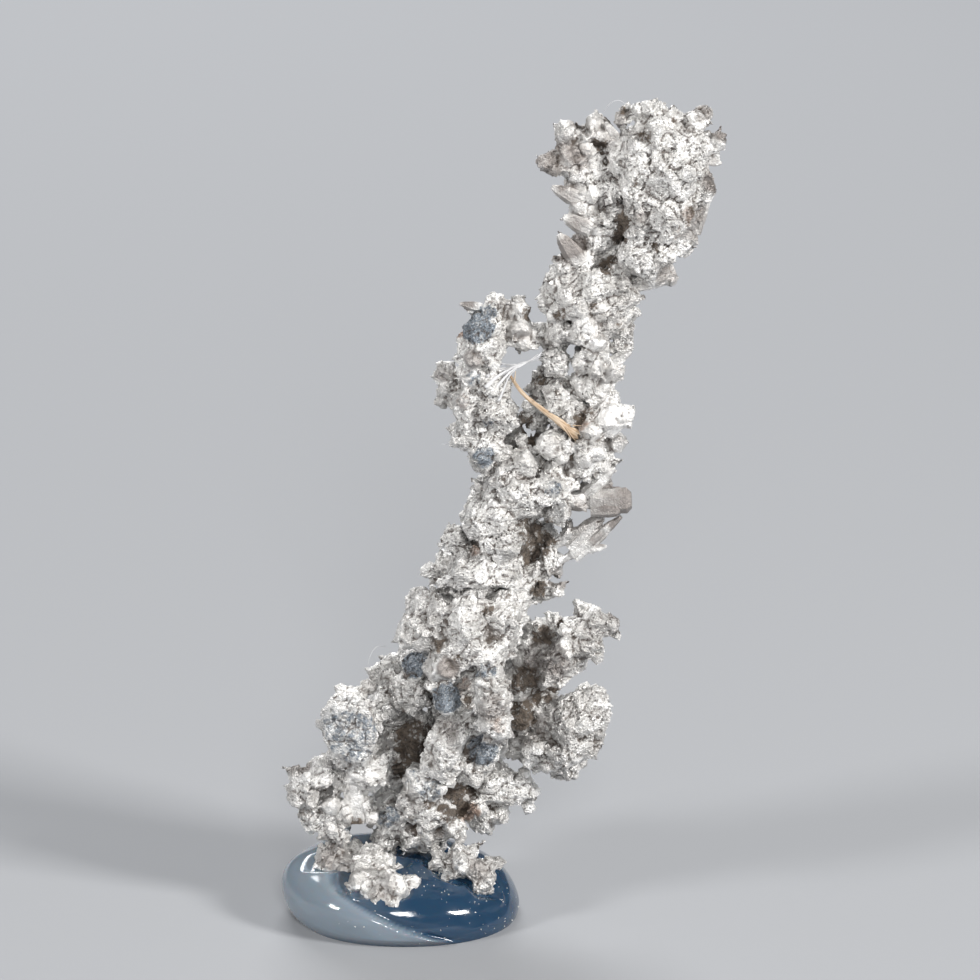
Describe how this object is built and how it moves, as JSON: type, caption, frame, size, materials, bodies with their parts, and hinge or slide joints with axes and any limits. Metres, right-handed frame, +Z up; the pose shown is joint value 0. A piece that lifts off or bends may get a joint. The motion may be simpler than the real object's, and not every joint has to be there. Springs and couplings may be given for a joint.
{
  "type": "native silver specimen",
  "caption": "Leaning, branching cluster of grown-together native silver crystals that stands on a flat-bottomed dab of mounting gum, with a splinter of wood caught at its fork.",
  "frame": {"origin": "on the flat underside of the mounting gum, near its middle", "axes": "+Z up, front at -Y, the cluster leans towards +X"},
  "size_m": [0.0313, 0.016, 0.0603],
  "materials": {
    "silver": "bare native silver, bright and granular, with warm grey-brown tarnish in the hollows and a few blue-grey crystals",
    "gum": "smooth glossy putty, milky blue-grey at the left and deep blue at the right",
    "wood": "bare pale fibrous wood"
  },
  "bodies": {
    "root": {"lower_trunk": "silver", "middle_trunk": "silver", "upper_trunk": "silver", "crown": "silver", "left_fork": "silver", "right_arm_upper": "silver", "right_arm_lower": "silver", "left_lobe": "silver", "left_hand": "silver", "rear_branch": "silver", "front_foot": "silver", "right_foot": "silver", "mounting_gum": "gum", "wood_splinter": "wood"}
  },
  "joints": []
}
